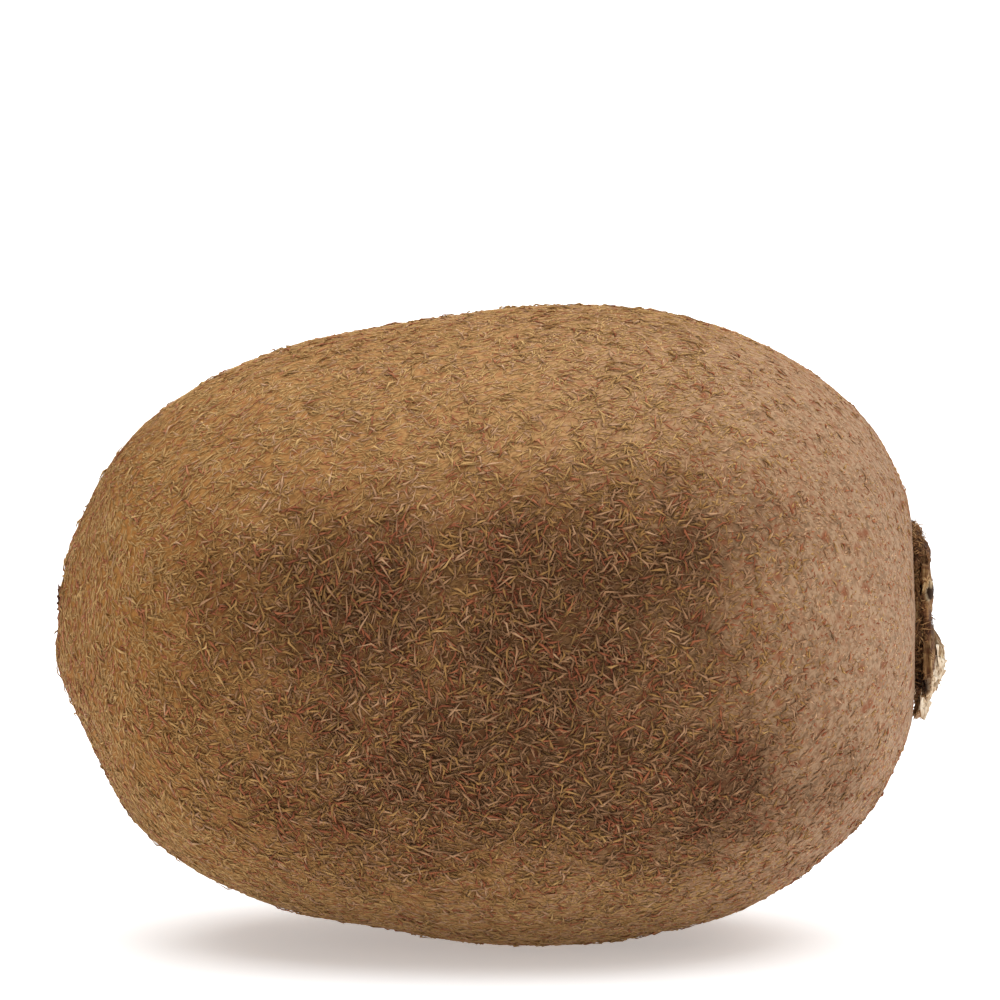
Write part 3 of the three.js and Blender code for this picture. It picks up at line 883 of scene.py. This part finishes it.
gathered = bmesh.new()
surface = np.array([corner.co for piece in (calyx, stub) for corner in piece.data.vertices])
for y, z, length, width, curl, lean, sweep, turned in flakes:
    aside = off_axis(surface, (y * mm, z * mm))
    root = Vector(surface[np.argmin(3 * aside - surface[:, 0])])  # where the surface stands highest close by
    torn = torn_flake(root, length * mm, width * mm, curl, lean, sweep, turned)
    held = bpy.data.meshes.new("one_flake")
    torn.to_mesh(held)
    torn.free()
    gathered.from_mesh(held)
    bpy.data.meshes.remove(held)
bark_flakes = piece_from("bark_flakes", gathered, flake_surface())
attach(bark_flakes, "root")

stalk_fibre = hair_surface(
    "stalk_fibre",
    [(0.0, (104, 72, 46)), (0.4, (176, 144, 106)), (0.7, (222, 202, 168)), (1.0, (244, 232, 208))],
)
points, normals = scattered(stub.data, fibre_count)
headings = np.array([[0, 0, -1.0]]) + hair_random.normal(0, 0.35, (fibre_count, 3))
tone = hair_random.normal(0.55, 0.18, fibre_count) - 0.45 * smooth_step(points[:, 2], 22.6 * mm, 24.4 * mm)
fibres = short_hairs(fibre_count, fibre_length, 0.5, 1.4, fibre_width, rise=(3, 14), turn=0.5)
growth = (points, normals, laid_down(headings, normals), *fibres, tone)
hair_coat("stalk_fibres", fine_hair, growth, stalk_fibre)

# ---- Crown of styles ----------------------------------------------------------------------------------
# The flower's withered styles, spread like spokes from a low hub in the dimple of the blossom end. Dry, wiry
# and purple-brown, a little paler towards their tips.
crown_low, crown_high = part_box("style_crown")
crown_middle = (crown_low + crown_high) / 2
crown_sunk = 0.16 * mm  # how far the crown has shrunk into the dimple
crown_gnarls = 0.04 * mm


def crown_surface():
    look = Surface("withered_styles", Roughness=0.9, Specular_IOR_Level=0.15)
    far = look.span(look.distance(crown_middle, crosswise), 0.5 * mm, 2.0 * mm)
    base = look.ramp(far, [(0.0, (84, 54, 46)), (0.6, (120, 80, 62)), (1.0, (158, 116, 84))])
    grain = look.grain(3000.0, detail=3.0)
    dirt = look.ramp(grain, [(0.3, (110, 96, 84)), (0.7, (255, 250, 242))])
    look.colour(look.blend("MULTIPLY", 0.7, base, dirt))
    look.relief(grain, 0.7, 0.1 * mm)
    return look.material


def gnarled(corners, outward):
    """The styles' corners moved into small gnarls, and sunk towards the fruit."""
    return corners + outward * (crown_gnarls * swirl(corners, 2400.0))[:, None] + crown_sunk * lengthwise


crown = finer("dried_styles", "style_crown", 1, crown_surface(), gnarled)

# ---- Floor, light and camera --------------------------------------------------------------------------
# A plain pale floor, one wide soft lamp overhead, a small one beside the stalk end and a pale grey studio
# all round. The camera looks along +Y at the fruit's front, from six degrees above it.
floor_half = 4.0
studio_light = 0.46
view_elevation = radians(6)
frame_width = 79.1 * mm
camera_distance = 0.6
view_shift, view_rise = 0.01 * mm, 9.75 * mm  # how far the view is moved to the right, and raised

sheet = bmesh.new()
bmesh.ops.create_grid(sheet, x_segments=1, y_segments=1, size=floor_half)
pale = Surface(
    "floor",
    Roughness=0.9,
    Base_Color=shade(250, 250, 250),
    Emission_Color=shade(255, 255, 255),
    Emission_Strength=0.35,
)
floor = piece_from("floor", sheet, pale.material)


def softbox(name, place, size, power):
    """A square soft lamp, turned towards the middle of the fruit."""
    lamp = bpy.data.lights.new(name, "AREA")
    lamp.size = size
    lamp.energy = power
    box = bpy.data.objects.new(name, lamp)
    box.location = place
    box.rotation_euler = (fruit_middle - Vector(place)).to_track_quat("-Z", "Y").to_euler()
    bpy.context.scene.collection.objects.link(box)


softbox("overhead", (0.1, 0.15, 2.2), size=3.6, power=98.5)
softbox("right_side", (0.75, -0.15, 0.75), size=0.5, power=1.4)

world = bpy.data.worlds.new("studio")
bpy.context.scene.world = world
world.use_nodes = True
background = world.node_tree.nodes["Background"]
background.inputs["Color"].default_value = shade(255, 255, 255)
background.inputs["Strength"].default_value = studio_light
bpy.context.scene.view_settings.view_transform = "Standard"

up = Vector((0, sin(view_elevation), cos(view_elevation)))
toward = Vector((0, cos(view_elevation), -sin(view_elevation)))
optics = bpy.data.cameras.new("camera")
optics.sensor_width = 36.0
optics.lens = optics.sensor_width * camera_distance / frame_width
camera = bpy.data.objects.new("camera", optics)
target = Vector((view_shift, 0, fruit_middle.z)) + up * view_rise
camera.location = target - toward * camera_distance
camera.rotation_euler = toward.to_track_quat("-Z", "Y").to_euler()
bpy.context.scene.collection.objects.link(camera)
bpy.context.scene.camera = camera
